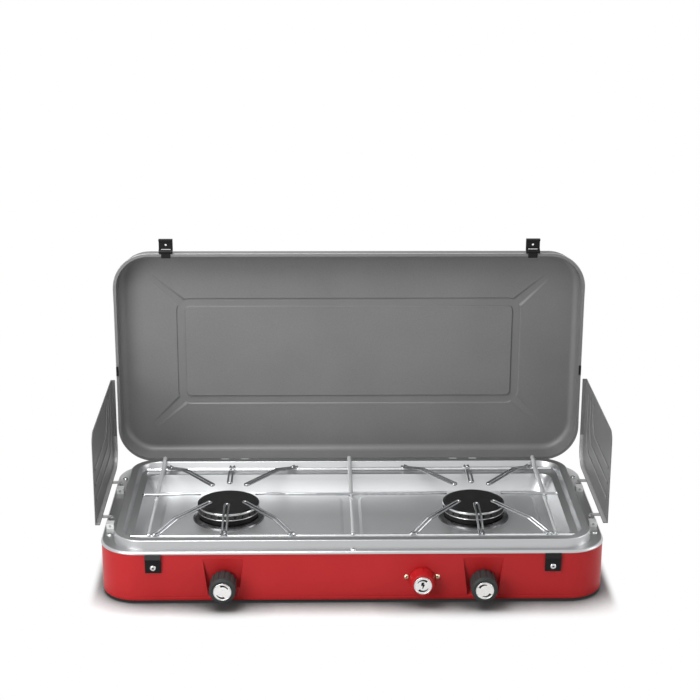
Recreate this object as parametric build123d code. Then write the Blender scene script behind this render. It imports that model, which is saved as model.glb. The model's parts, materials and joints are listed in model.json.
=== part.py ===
from build123d import *
from math import atan2, cos, degrees, hypot, radians, sin
import os

# Two-burner folding gas stove, lid open and wind screens up.
# Millimetres. X runs along the front, Y from the front to the rear, Z up from the ground.

# Case
case_w = 673.0
case_d = 314.0
case_h = 66.0
case_corner = 50.0
case_edge = 6.0
case_lip = 14.0
sheet = 1.0
foot_h = 5.0
foot_r = 11.0
foot_in_x = 46.0
foot_in_y = 46.0

# Knob scoops pressed into the front wall
scoop_top = 60.0
scoop_deep = 13.0
scoop_low = 3.0
scoop_depth = 9.5
scoop_half_top = 27.0
scoop_half_low = 20.0

# Drip tray
tray_over = 0.8
skirt_h = 3.5
lip_r = 3.3
side_border = 16.5
end_border = 8.0
ridge_h = 12.0
ridge_run = 1.5
ridge_flat = 11.0
ridge_corner = 42.0
ridge_round = 1.4
step_drop = 8.0
step_run = 4.0
step_flat = 10.0
rear_ledge = 18.0
basin_drop = 22.5
basin_run = 11.0
basin_corner = 18.0
pad_rise = 1.2
pad_gap_mid = 30.0
pad_bevel = 4.0
pad_in = 20.0
pad_corner = 14.0

# Burners
burner_in = 164.5
collar_r = 50.0
collar_in = 33.0
collar_h = 4.0
collar_lip = 6.0
cup_r = 41.0
cup_h = 8.0
cup_wall = 2.0
neck_r = 11.0
port_r = 43.0
port_wall = 4.0
port_h = 7.0
port_slots = 24
slot_w = 2.2
slot_h = 3.6
cap_h = 5.0
cap_spigot = 2.0
cap_edge = 3.0

# Gas train under the tray
tube_r = 8.0
tube_wall = 1.5
tube_bend = 16.0
tube_mouth = 45.0
neck_drop = 8.0
valve_r = 9.0
valve_len = 25.0
valve_set = 12.0
stub_r = 7.0
jet_r = 4.0
jet_len = 12.0
jet_bore = 0.8
manifold_r = 4.0
manifold_z = 20.0
manifold_bite = 3.0
inlet_off = 31.0
inlet_z = 32.0
inlet_r = 6.0
inlet_len = 14.0
inlet_nut = 9.0
inlet_nut_h = 6.0
tee_half = 7.0
feed_bend = 25.0

# Ignition
igniter_off = 81.0
igniter_z = 29.0
igniter_r = 9.0
igniter_len = 42.0
igniter_tab_half = 27.0
igniter_tab_h = 14.0
igniter_tab_t = 2.0
igniter_screw_half = 20.5
igniter_screw_z = 32.5
igniter_knob_r = 17.0
igniter_knob_len = 20.0
igniter_knob_taper = 2.2
ridge_up = 1.8
ridge_taper = 8.0
lead_r = 1.3
lead_bend = 14.0
lead_sag = 6.0
electrode_r = 3.0
electrode_h = 16.0
electrode_off = 47.5
spark_r = 1.0
spark_h = 12.0
spark_tail = 3.0

# Control knobs
knob_z = 25.0
knob_r = 17.5
knob_len = 30.0
knob_set = 2.0
knob_flutes = 14
flute_r = 2.6
flute_end = 4.0
knob_edge = 1.3
disc_r = 12.0
disc_t = 1.2
disc_seat = 0.9
stem_r = 3.0
stem_bite = 14.0

# Pan supports
cross_r = 2.0
cross_in = 2.5
cross_seat = 3.5
bar_in = 21.5
bar_r = 2.0
bar_rear_r = 3.0
bar_step_y = -8.0
bar_over = 2.0
bar_bend = 8.0
pan_z = 94.0
spoke_r = 1.6
spoke_pitch = 5.5
spoke_reach = 38.0
spoke_run = 42.0
spoke_level = 9.0
spoke_over = 3.0
spoke_bend = 10.0
spoke_splay = 93.0
side_spoke_y = 0.0
side_spoke_over = 17.0

# Lid
lid_side = 5.0
lid_over = 2.0
lid_depth = 37.0
lid_corner = 52.0
lid_edge = 10.0
rim_w = 3.0
rim_t = 1.2
lid_lift = 7.3
lid_gap = 4.0
lid_clear = 0.35
rib_h = 2.0
rib_w = 15.5
rib_half_x = 255.5
rib_half_y = 83.4
rib_shift = 0.6
rib_corner = 20.0
arm_end_x = 291.0
arm_end_y = 115.0
arm_w0 = 20.0
arm_w1 = 12.5
arm_fade = 0.25

# Lid hinges
hinge_in = 166.5
hinge_len = 40.0
hinge_mid = 18.0
hinge_pin_r = 1.5
hinge_wall = 1.0
hinge_leaf = 20.0
leaf_t = 1.5

# Lid latches and base catches
latch_in = 72.5
latch_w = 20.0
latch_t = 2.5
latch_ear = 3.0
latch_pin_r = 1.5
latch_barrel_r = 3.0
latch_off = 3.4
latch_face = 2.0
latch_lip = 2.5
latch_hole_r = 1.6
bracket_t = 2.4
bracket_h = 12.0
bracket_under = 1.2
bracket_grip = 6.0
catch_w = 21.0
catch_h = 25.0
catch_t = 3.0
catch_nose = 7.0
catch_slope = 4.7
catch_nose_h = 0.8
catch_top_t = 2.0
catch_hook = 3.0
catch_screw_z = 48.0

# Wind screens
screen_front_in = 77.0
screen_rear_in = 11.0
screen_top = 211.0
screen_flange = 6.5
screen_gap = 0.5
screen_corner = 26.0
screen_nose = 14.0
screen_rib_w = 4.0
screen_rib_h = 0.8
screen_rib_in = 30.0
screen_rib_step = 22.0
screen_ribs = 3
screen_margin = 12.0
pin_in = 8.0
hook_r = 1.75
hook_bend = 6.0
hook_run = 29.0
hook_rear_in = 78.0
hook_front_in = 112.0
block_w = 10.0
block_d = 12.0
block_h = 7.0
clip_y = 18.0
clip_len = 14.0
clip_w = 3.4
clip_t = 1.5

# Screws and rivets
screw_r = 3.0
screw_h = 1.6
shank_r = 1.4
tray_screw_end = 57.0
tray_screw_in = 9.5
front_screw_in = 5.2

# Clearances
run_gap = 0.05
slide_gap = 0.3
hole_gap = 2.0
weld_gap = 0.05

# Levels and places that follow from the sizes above
front = -case_d / 2
rear = case_d / 2
case_top = foot_h + case_h
border_z = case_top + skirt_h
ridge_z = border_z + ridge_h
step_z = ridge_z - step_drop
basin_z = step_z - basin_drop
at_top = ridge_run
at_step = ridge_run + ridge_flat
at_flat = at_step + step_run
at_basin = at_flat + step_flat
at_floor = at_basin + basin_run

burner_x = case_w / 2 - burner_in
igniter_x = burner_x - igniter_off
inlet_x = igniter_x - inlet_off
tray_screw_y = rear - tray_screw_end

collar_z = basin_z + pad_rise
cup_z = collar_z + collar_h
port_z = cup_z + cup_h
cap_z = port_z + port_h
axis_z = foot_h + knob_z
valve_front = front + valve_set
valve_rear = valve_front + valve_len
valve_mid = valve_front + valve_len / 2
spark_z = foot_h + igniter_z

ledge_x = case_w / 2 - side_border - at_basin
ledge_y = rear - end_border - at_basin
cross_y = ledge_y - cross_in
cross_half = ledge_x + cross_seat
bar_x = ledge_x - bar_in
bar_end_y = rear - end_border - ridge_run - ridge_flat / 2
side_spoke_end = bar_x + side_spoke_over

pin_x = case_w / 2 - pin_in
pin_z = border_z + block_h / 2
hook_rear_y = rear - hook_rear_in
hook_front_y = front + hook_front_in
screen_front = front + screen_front_in
screen_rear = rear - screen_rear_in
screen_low = pin_z + hook_r + weld_gap

lid_w = case_w + 2 * lid_side
lid_l = case_d + 2 * lid_over
lid_rear = rear + lid_over
lid_front = lid_rear - lid_l
shut_z = pin_z + hook_r + lid_clear
open_y = rear + lid_gap
open_z = case_top + lid_lift
hinge_z = (lid_rear + open_z + shut_z - open_y) / 2
hinge_y = (lid_rear + open_z - shut_z + open_y) / 2
hinge_r = hinge_pin_r + hinge_wall
hinge_x = case_w / 2 - hinge_in

latch_x = case_w / 2 - latch_in
latch_y = lid_front - latch_off
latch_z = shut_z + rim_t / 2
nose_y = front - catch_nose
nose_z = case_top - catch_slope - catch_nose_h

screen_x = lid_w / 2 + screen_gap + screen_flange

knob_back = front + knob_set
knob_front = knob_back - knob_len
lid_back = open_y + lid_depth + rib_h
middle_y = (knob_front - (disc_t - disc_seat) + lid_back) / 2


def block(x0, x1, y0, y1, z0, z1):
    return Pos((x0 + x1) / 2, (y0 + y1) / 2, (z0 + z1) / 2) * Box(x1 - x0, y1 - y0, z1 - z0)


def rod_x(r, x0, x1, y, z):
    return Pos((x0 + x1) / 2, y, z) * Rot(0, 90, 0) * Cylinder(r, x1 - x0)


def rod_y(r, y0, y1, x, z):
    return Pos(x, (y0 + y1) / 2, z) * Rot(90, 0, 0) * Cylinder(r, y1 - y0)


def rod_z(r, z0, z1, x, y):
    return Pos(x, y, (z0 + z1) / 2) * Cylinder(r, z1 - z0)


def slab(w, d, r, z0, z1):
    return Pos(0, 0, z0) * extrude(RectangleRounded(w, d, r), z1 - z0)


def turned(points):
    """Solid of revolution about Z from (radius, height) corners."""
    return revolve(Plane.XZ * make_face(Polyline(*points, close=True)), Axis.Z)


def tube(path, radius):
    """Round bar along a path of straight runs and arcs."""
    return sweep(Plane(path @ 0, z_dir=path % 0) * Circle(radius), path=path)


def prism_x(points, x0, x1):
    """Solid with a constant (y, z) section between two X planes."""
    face = Plane.YZ * make_face(Polyline(*points, close=True))
    return Pos(x0, 0, 0) * extrude(face, x1 - x0)


def opened(shape):
    """Turn a lid piece from shut to open about the hinge line."""
    return Pos(0, hinge_y, hinge_z) * Rot(-90, 0, 0) * Pos(0, -hinge_y, -hinge_z) * shape


def scoop(x, grow):
    """Tapered recess behind a knob, deepest below its axis."""
    top = foot_h + scoop_top
    deep = foot_h + scoop_deep
    low = foot_h + scoop_low
    far = front - case_edge
    side = Polyline((far, top), (front, top), (front + scoop_depth, deep), (front, low), (far, low),
                    close=True)
    face = Polyline((-scoop_half_top, top), (scoop_half_top, top), (scoop_half_low, low),
                    (-scoop_half_low, low), close=True)
    wedge = extrude(Plane.YZ * offset(make_face(side), grow, kind=Kind.INTERSECTION), case_w / 8, both=True)
    funnel = Plane.XZ * offset(make_face(face), grow, kind=Kind.INTERSECTION)
    return Pos(x, 0, 0) * (wedge & extrude(funnel, case_d, both=True))


def case_form(grow, z1):
    w = case_w - 2 * grow
    d = case_d - 2 * grow
    form = slab(w, d, case_corner - grow, foot_h + grow, z1)
    form = fillet(form.edges().group_by(Axis.Z)[0], case_edge - grow)
    for side in (-1, 1):
        form -= scoop(side * burner_x, grow)
    return form


def case():
    shell = case_form(0, case_top) - case_form(sheet, case_top - sheet)
    shell -= slab(case_w - 2 * case_lip, case_d - 2 * case_lip, case_corner - case_lip, case_top - 2 * sheet,
                  case_top + sheet)
    for side in (-1, 1):
        shell -= rod_y(stem_r + hole_gap, front - case_edge, valve_front, side * burner_x, axis_z)
        screw_x = igniter_x + side * igniter_screw_half
        shell -= rod_y(shank_r + run_gap, front - case_edge, valve_front, screw_x, foot_h + igniter_screw_z)
        catch_z = foot_h + catch_screw_z
        shell -= rod_y(shank_r + run_gap, front - case_edge, valve_front, side * latch_x, catch_z)
    shell -= rod_y(stem_r + hole_gap, front - case_edge, valve_front, igniter_x, spark_z)
    shell -= rod_y(inlet_r + run_gap, rear - case_edge, rear + case_edge, inlet_x, inlet_z)
    for x, y in tray_screw_places():
        shell -= rod_z(shank_r + run_gap, case_top - 2 * sheet, case_top + sheet, x, y)
    return shell


def feet():
    places = GridLocations(case_w - 2 * foot_in_x, case_d - 2 * foot_in_y, 2, 2)
    foot = turned([(0, 0), (foot_r - 2, 0), (foot_r, foot_h), (0, foot_h)])
    return [place * foot for place in places]


def tray_ring(inset, grow):
    w = case_w - 2 * (side_border + inset) + 2 * grow
    d = case_d - 2 * (end_border + inset) + 2 * grow
    return RectangleRounded(w, d, max(ridge_corner - inset, basin_corner) + grow)


def basin_ring(inset, grow):
    """Ring of the basin, whose ledge is deeper at the rear than elsewhere."""
    w = case_w - 2 * (side_border + inset) + 2 * grow
    d = case_d - 2 * (end_border + inset) - rear_ledge + 2 * grow
    ring = RectangleRounded(w, d, max(ridge_corner - inset, basin_corner) + grow)
    return Pos(0, -rear_ledge / 2) * ring


def pad_ring(grow):
    w = case_w / 2 - side_border - at_floor - pad_in - pad_gap_mid / 2 + 2 * grow
    d = case_d - 2 * (end_border + at_floor + pad_in) - rear_ledge + 2 * grow
    return Pos(0, -rear_ledge / 2) * RectangleRounded(w, d, pad_corner + grow)


def tray_form(drop):
    """Upper skin of the tray as a solid, moved inwards by the sheet's thickness for its underside."""
    over = 2 * (tray_over - drop)
    low = basin_z - 3 * (sheet + drop)
    form = slab(case_w + over, case_d + over, case_corner + over / 2, low, border_z - drop)
    form = fillet(form.edges().group_by(Axis.Z)[-1], lip_r - drop)
    form += loft([Pos(0, 0, border_z - drop) * tray_ring(0, -drop),
                  Pos(0, 0, ridge_z - drop) * tray_ring(at_top, -drop)])
    step_up = step_run / step_drop
    form -= loft([Pos(0, 0, step_z - drop) * tray_ring(at_flat, drop),
                  Pos(0, 0, ridge_z - drop + 1) * tray_ring(at_step - step_up, drop)])
    basin_up = basin_run / basin_drop
    form -= loft([Pos(0, 0, basin_z - drop) * basin_ring(at_floor, drop),
                  Pos(0, 0, step_z - drop + 1) * basin_ring(at_basin - basin_up, drop)])
    pad = loft([Pos(0, 0, basin_z - pad_rise - drop) * pad_ring(2 * pad_bevel - drop),
                Pos(0, 0, basin_z + pad_rise - drop) * pad_ring(-drop)])
    pad_x = (case_w / 2 - side_border - at_floor - pad_in + pad_gap_mid / 2) / 2
    for side in (-1, 1):
        form += Pos(side * pad_x, 0, 0) * pad
    return form


def tray_screw_places():
    side_x = case_w / 2 - tray_screw_in
    end_y = case_d / 2 - front_screw_in
    corners = [(sx * side_x, sy * tray_screw_y) for sx in (-1, 1) for sy in (-1, 1)]
    return corners + [(0, -end_y), (0, end_y)]


def drip_tray():
    top = tray_form(0)
    plateau = top.edges().filter_by_position(Axis.Z, ridge_z - 0.01, ridge_z + 0.01)
    top = fillet(plateau, min(ridge_round, ridge_flat / 3))
    tray = top - tray_form(sheet)
    low = basin_z - 4 * sheet
    skirt = slab(case_w + 4 * tray_over, case_d + 4 * tray_over, case_corner + 2 * tray_over, low, case_top)
    skirt -= slab(case_w - 2 * case_lip, case_d - 2 * case_lip, case_corner - case_lip, low - 1, case_top + 1)
    tray -= skirt
    for side in (-1, 1):
        tray -= rod_z(collar_in + sheet, low, collar_z + sheet, side * burner_x, 0)
        tray -= rod_z(electrode_r + run_gap, low, collar_z + sheet, side * burner_x, electrode_off)
        half = hinge_len / 2 + slide_gap
        x = side * hinge_x
        tray -= block(x - half, x + half, rear - sheet, rear + case_edge, case_top - sheet, border_z + sheet)
    for x, y in tray_screw_places():
        tray -= rod_z(shank_r + run_gap, case_top, border_z + sheet, x, y)
    return tray


def screw(depth):
    """Round-head screw standing on z = 0, with its shank below."""
    head = Pos(0, 0, -screw_r) * Sphere(screw_r * 1.25)
    head &= Pos(0, 0, screw_h / 2) * Cylinder(screw_r, screw_h)
    return head + rod_z(shank_r, -depth, screw_h / 2, 0, 0)


def tray_screws():
    return [Pos(x, y, border_z) * screw(skirt_h + 2 * sheet) for x, y in tray_screw_places()]


def front_screws(places, y, depth):
    """Screws driven into the front from the outside."""
    return [Pos(x, y, z) * Rot(90, 0, 0) * screw(depth) for x, z in places]


def burner_collar():
    skirt = collar_r - collar_lip
    ring = turned([(collar_in, collar_z), (collar_r, collar_z), (collar_r - sheet, collar_z + 2 * sheet),
                   (skirt, cup_z), (collar_in, cup_z)])
    return ring - rod_z(electrode_r + run_gap, collar_z - 1, cup_z + 1, 0, electrode_off)


def burner_cup():
    base = cup_z + cup_wall
    neck_z = collar_z - neck_drop
    bore = tube_r + run_gap
    wall = cup_r - cup_wall
    return turned([(bore, neck_z), (neck_r, neck_z), (neck_r, cup_z), (cup_r, cup_z), (cup_r, port_z),
                   (wall, port_z), (wall, base), (bore, base)])


def port_ring():
    ring = Pos(0, 0, port_z + port_h / 2) * (Cylinder(port_r, port_h) - Cylinder(port_r - port_wall, port_h))
    slot_z = port_z + port_h / 2
    slot = Pos(port_r, 0, slot_z) * Box(3 * port_wall, slot_w, slot_h)
    for place in PolarLocations(0, port_slots):
        ring -= place * slot
    return ring


def burner_cap():
    spigot = port_r - port_wall - run_gap
    return turned([(0, cap_z - cap_spigot), (spigot, cap_z - cap_spigot), (spigot, cap_z), (port_r, cap_z),
                   (port_r, cap_z + cap_h / 2), (port_r - cap_edge, cap_z + cap_h * 0.85),
                   (0, cap_z + cap_h)])


def mixing_tube():
    """Venturi from the jet, under the tray and up into the burner's neck."""
    start = valve_rear + jet_len * 2 / 3
    top = cup_z + cup_wall
    run = Line((0, start, axis_z), (0, -tube_bend, axis_z))
    centre = (0, -tube_bend + tube_bend * sin(radians(45)), axis_z + tube_bend * (1 - cos(radians(45))))
    bend = ThreePointArc(run @ 1, centre, (0, 0, axis_z + tube_bend))
    rise = Line(bend @ 1, (0, 0, top))
    path = run + bend + rise
    pipe = tube(path, tube_r) - tube(path, tube_r - tube_wall)
    window = start + tube_mouth / 3
    pipe -= Pos(0, window, axis_z) * Box(3 * tube_r, tube_mouth / 4, tube_r)
    return pipe


def jet():
    shoulder = jet_len * 0.6
    nozzle = turned([(jet_bore, 0), (jet_r, 0), (jet_r, shoulder), (jet_r / 2, jet_len), (jet_bore, jet_len)])
    return Pos(0, valve_rear, axis_z) * Rot(-90, 0, 0) * nozzle


def valve(side):
    """Brass tap: barrel along the stem, with a foot that takes the manifold."""
    body = rod_y(valve_r, valve_front, valve_rear, 0, axis_z)
    body += rod_z(stub_r, manifold_z - stub_r, axis_z, 0, valve_mid)
    body -= rod_y(stem_r + run_gap, valve_front - 1, valve_front + stem_bite + slide_gap, 0, axis_z)
    near, far = sorted((-side * (stub_r - manifold_bite), -side * 2 * stub_r))
    return body - rod_x(manifold_r + run_gap, near, far, valve_mid, manifold_z)


def manifold():
    """Brazed gas pipe: cross pipe between the taps, tee block and feed from the inlet."""
    reach = burner_x - stub_r + manifold_bite
    pipe = rod_x(manifold_r, -reach, reach, valve_mid, manifold_z)
    pipe += Pos(inlet_x, valve_mid, manifold_z) * Box(2 * tee_half, 2 * tee_half, 1.6 * tee_half)
    end_y = rear - inlet_nut_h - sheet
    route = FilletPolyline((inlet_x, valve_mid, manifold_z), (inlet_x, end_y - 2 * feed_bend, manifold_z),
                           (inlet_x, end_y - feed_bend, inlet_z), (inlet_x, end_y, inlet_z), radius=feed_bend)
    return pipe + tube(route, manifold_r)


def gas_inlet():
    """Hose connector through the rear wall, held by a nut on each side."""
    nut = extrude(RegularPolygon(inlet_nut, 6), inlet_nut_h)
    stem = rod_y(inlet_r, rear - inlet_nut_h - sheet, rear + inlet_nut_h + inlet_len, inlet_x, inlet_z)
    outer = Pos(inlet_x, rear + inlet_nut_h, inlet_z) * Rot(90, 0, 0) * nut
    inner = Pos(inlet_x, rear - sheet, inlet_z) * Rot(90, 0, 0) * nut
    return stem + outer + inner


def igniter_body():
    wall = front + sheet
    body = rod_y(igniter_r, wall, wall + igniter_len, igniter_x, spark_z)
    tab_z = foot_h + igniter_screw_z
    tab = block(igniter_x - igniter_tab_half, igniter_x + igniter_tab_half, wall, wall + igniter_tab_t,
                tab_z - igniter_tab_h / 2, tab_z + igniter_tab_h / 2)
    body += tab
    body -= rod_y(stem_r + run_gap, wall - 1, wall + stem_bite + slide_gap, igniter_x, spark_z)
    for side in (-1, 1):
        x = igniter_x + side * igniter_screw_half
        body -= rod_y(shank_r + run_gap, wall - 1, wall + igniter_len, x, tab_z)
    return body


def igniter_knob():
    back = front - 2 * slide_gap
    tip = back - igniter_knob_len
    shoulder = igniter_knob_len * 0.35
    face_r = igniter_knob_r - igniter_knob_taper
    floor = igniter_knob_len - disc_seat
    seat_r = disc_r + run_gap
    knob = turned([(0, 0), (igniter_knob_r, 0), (igniter_knob_r, shoulder),
                   (face_r, igniter_knob_len - knob_edge), (face_r - knob_edge, igniter_knob_len),
                   (seat_r, igniter_knob_len), (seat_r, floor), (0, floor)])
    half = igniter_knob_r / 3
    crest = make_face(Polyline((-half, face_r - knob_edge), (half, face_r - knob_edge),
                               (0, igniter_knob_r + ridge_up), close=True))
    knob += Pos(0, 0, 2 * screw_h) * extrude(crest, shoulder, taper=ridge_taper)
    knob = Pos(igniter_x, back, spark_z) * Rot(90, 0, 0) * knob
    return knob + rod_y(stem_r, tip + igniter_knob_len / 2, front + sheet + stem_bite, igniter_x, spark_z)


def disc(y):
    """Printed metal disc in a knob's face, its outer face towards the user."""
    return rod_y(disc_r, y - disc_t + disc_seat, y + disc_seat, 0, 0)


def knob():
    bevel = 2 * knob_edge
    floor = knob_len - disc_seat
    seat_r = disc_r + run_gap
    body = turned([(0, 0), (knob_r - knob_edge, 0), (knob_r, knob_edge), (knob_r, knob_len - bevel),
                   (knob_r - bevel, knob_len), (seat_r, knob_len), (seat_r, floor), (0, floor)])
    body -= rod_z(stem_r + run_gap, -1, stem_bite, 0, 0)
    flute = rod_z(flute_r, -1, knob_len - flute_end, 0, 0)
    for place in PolarLocations(knob_r + flute_r * 0.45, knob_flutes):
        body -= place * flute
    return Pos(0, knob_back, axis_z) * Rot(90, 0, 0) * body


def valve_stem():
    return rod_y(stem_r, knob_back - stem_bite, valve_front + stem_bite, 0, axis_z)


def electrode():
    """Ceramic sleeve standing in the tray beside the burner."""
    low = basin_z - electrode_h / 2
    sleeve = rod_z(electrode_r, low, low + electrode_h, 0, electrode_off)
    return sleeve - rod_z(spark_r + run_gap, low - 1, low + electrode_h + 1, 0, electrode_off)


def spark_pin():
    low = basin_z - electrode_h / 2 - spark_tail
    top = basin_z + electrode_h / 2 + spark_h
    return rod_z(spark_r, low, top, 0, electrode_off)


def ignition_lead(side):
    """Insulated wire from the igniter to the foot of an electrode."""
    end_z = basin_z - electrode_h / 2 - spark_tail - lead_r
    start_y = front + sheet + igniter_len
    start_x = igniter_x + side * igniter_r / 2
    x = side * burner_x
    across = (igniter_x + x) / 2
    route = FilletPolyline((start_x, start_y, spark_z), (start_x, start_y + 2 * lead_bend, spark_z),
                           (across, -collar_r / 2, end_z - lead_sag),
                           (x - side * 3 * lead_bend, electrode_off, end_z), (x, electrode_off, end_z),
                           radius=lead_bend)
    return tube(route, lead_r)


def cross_wire(side):
    return rod_x(cross_r, -cross_half, cross_half, side * cross_y, step_z + cross_r)


def support_bar():
    """Long wire over both cross wires, thicker behind its middle, kicked up onto the tray's ridge."""
    low = step_z + 2 * cross_r + weld_gap
    high = ridge_z + weld_gap
    front_part = rod_y(bar_r, -cross_y - bar_over, bar_step_y + bar_r, 0, low + bar_r + 3 * weld_gap)
    knee = cross_y + 3 * bar_rear_r
    route = FilletPolyline((0, bar_step_y, low + bar_rear_r), (0, cross_y - 2 * cross_r, low + bar_rear_r),
                           (0, knee, high + bar_rear_r), (0, bar_end_y, high + bar_rear_r), radius=bar_bend)
    return front_part + tube(route, bar_rear_r)


def hairpin(dx, y0):
    """Double-wire spoke from a cross wire up to pan height, ending in a turn round the burner."""
    length = hypot(dx, y0) - spoke_reach
    low = step_z + 2 * cross_r + spoke_r + weld_gap
    high = pan_z - spoke_r
    half = spoke_pitch / 2
    turn = length - half
    left = FilletPolyline((0, -half, low), (spoke_level, -half, low), (spoke_run, -half, high),
                          (turn, -half, high), radius=spoke_bend)
    nose = ThreePointArc((turn, -half, high), (length, 0, high), (turn, half, high))
    right = FilletPolyline((turn, half, high), (spoke_run, half, high), (spoke_level, half, low),
                           (0, half, low), radius=spoke_bend)
    wire = tube(left + nose + right, spoke_r)
    heading = degrees(atan2(-y0, -dx))
    return Pos(dx, y0, 0) * Rot(0, 0, heading) * wire


def side_spoke(x0):
    """Single wire over a long bar, rising towards the burner from outside it."""
    inward = -1 if x0 > 0 else 1
    low = step_z + 2 * cross_r + 2 * bar_rear_r + cross_r + 2 * weld_gap
    high = pan_z - cross_r
    tip = -inward * spoke_reach
    knee = tip - inward * spoke_run
    crest = tip - inward * spoke_run / 3
    route = FilletPolyline((x0, side_spoke_y, low), (knee, side_spoke_y, low),
                           (crest, side_spoke_y * 0.6, high), (tip, side_spoke_y * 0.4, high),
                           radius=spoke_bend)
    return tube(route, cross_r)


def spokes(side):
    """All the spokes of one burner, each welded to the wires that it crosses."""
    wires = []
    for end in (-1, 1):
        y0 = end * (cross_y + spoke_over)
        wires += [hairpin(dx, y0) for dx in (-spoke_splay, 0, spoke_splay)]
    wires.append(side_spoke(side * (side_spoke_end - burner_x)))
    wires.append(side_spoke(-side * (burner_x - slide_gap)))
    return [Pos(side * burner_x, 0, 0) * wire for wire in wires]


def lid_form(drop):
    """Outer skin of the shut lid as a solid, moved inwards by the sheet's thickness for its inside."""
    w = lid_w - 2 * (rim_w + drop)
    d = lid_l - 2 * (rim_w + drop)
    base = shut_z if drop == 0 else shut_z - 1
    top = shut_z + lid_depth - drop
    mid_y = (lid_front + lid_rear) / 2
    form = Pos(0, mid_y, 0) * slab(w, d, lid_corner - rim_w - drop, base, top)
    form = fillet(form.edges().group_by(Axis.Z)[-1], lid_edge - drop)
    band = slab(2 * (rib_half_x - drop), 2 * (rib_half_y - drop), rib_corner, top - sheet, top + rib_h)
    hole_x = 2 * (rib_half_x - rib_w + drop)
    hole_y = 2 * (rib_half_y - rib_w + drop)
    band -= slab(hole_x, hole_y, rib_corner - rib_w + 2 * drop, top - 2 * sheet, top + 2 * rib_h)
    form += Pos(0, mid_y - rib_shift, 0) * chamfer(band.edges().group_by(Axis.Z)[-1], rib_h * 0.7)
    for sx in (-1, 1):
        for sy in (-1, 1):
            form += Pos(0, mid_y, top) * rib_arm(sx, sy, drop)
    return form


def rib_arm(sx, sy, drop):
    """Pressed rib from a corner of the band towards the lid's corner, fading into the panel."""
    x0 = sx * (rib_half_x - rib_w / 2 - 4)
    y0 = sy * (rib_half_y - rib_w / 2 - 4) - rib_shift
    x1 = sx * arm_end_x
    y1 = sy * arm_end_y
    along = Plane((x0, y0, 0), x_dir=(y0 - y1, x1 - x0, 0), z_dir=(x1 - x0, y1 - y0, 0))
    length = hypot(x1 - x0, y1 - y0)
    near = along * rib_section(arm_w0 / 2 - drop, rib_h)
    far = along.offset(length) * rib_section(arm_w1 / 2 - drop, arm_fade)
    return loft([near, far])


def rib_section(half, height):
    """Trapezoid across a rib, with its foot sunk in the panel."""
    foot = -sheet / 2
    crest = half * 0.6
    return make_face(Polyline((-half, foot), (half, foot), (half, 0), (crest, height), (-crest, height),
                              (-half, 0), close=True))


def lid_shell():
    mid_y = (lid_front + lid_rear) / 2
    rim = Pos(0, mid_y, 0) * slab(lid_w, lid_l, lid_corner, shut_z, shut_z + rim_t)
    shell = lid_form(0) + rim
    shell -= lid_form(sheet)
    for side in (-1, 1):
        x = side * hinge_x
        half = hinge_len / 2 + slide_gap
        shell -= block(x - half, x + half, lid_rear - rim_w, lid_rear + 1, shut_z - 1, shut_z + 2 * rim_t)
    return shell


def hinge_bases():
    """Fixed leaf on the case's rear wall, with a knuckle at each end."""
    inner = hinge_mid / 2 + slide_gap
    outer = hinge_len / 2
    neck = hinge_z - hinge_r - slide_gap
    leaves = []
    for x in (-hinge_x, hinge_x):
        leaf = block(x - outer, x + outer, rear, rear + leaf_t, case_top - hinge_leaf, neck)
        for side in (-1, 1):
            near, far = sorted((x + side * inner, x + side * outer))
            leaf += block(near, far, rear, rear + leaf_t, neck, hinge_z)
            leaf += rod_x(hinge_r, near, far, hinge_y, hinge_z)
        leaves.append(leaf - rod_x(hinge_pin_r + run_gap, x - hinge_len, x + hinge_len, hinge_y, hinge_z))
    return leaves


def hinge_lid_leaves():
    """Moving leaf against the lid's rear wall, through a notch in its rim."""
    wall = lid_rear - rim_w
    half = hinge_mid / 2
    leaves = []
    for x in (-hinge_x, hinge_x):
        leaf = block(x - half, x + half, wall, wall + leaf_t, hinge_z, shut_z + hinge_leaf)
        leaf += block(x - half, x + half, wall, hinge_y, hinge_z, hinge_z + hinge_r)
        leaf += rod_x(hinge_r, x - half, x + half, hinge_y, hinge_z)
        leaf -= rod_x(hinge_pin_r + run_gap, x - hinge_len, x + hinge_len, hinge_y, hinge_z)
        leaves.append(opened(leaf))
    return leaves


def hinge_pins():
    half = hinge_len / 2
    return [rod_x(hinge_pin_r, x - half, x + half, hinge_y, hinge_z) for x in (-hinge_x, hinge_x)]


def latch_brackets():
    """Clamp on the lid's front rim that carries the latch pin."""
    half = latch_w / 2 - latch_ear - slide_gap
    wall = lid_front + rim_w
    brackets = []
    for x in (-latch_x, latch_x):
        clamp = rod_x(latch_barrel_r, x - half, x + half, latch_y, latch_z)
        clamp += block(x - half, x + half, latch_y, wall, shut_z + rim_t, shut_z + rim_t + bracket_t)
        clamp += block(x - half, x + half, wall - bracket_t, wall, shut_z + rim_t, shut_z + rim_t + bracket_h)
        clamp += block(x - half, x + half, latch_y, lid_front + bracket_grip, shut_z - bracket_under, shut_z)
        clamp -= rod_x(latch_pin_r + run_gap, x - latch_w, x + latch_w, latch_y, latch_z)
        brackets.append(opened(clamp))
    return brackets


def latch_pins():
    half = latch_w / 2
    return [opened(rod_x(latch_pin_r, x - half, x + half, latch_y, latch_z)) for x in (-latch_x, latch_x)]


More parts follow.
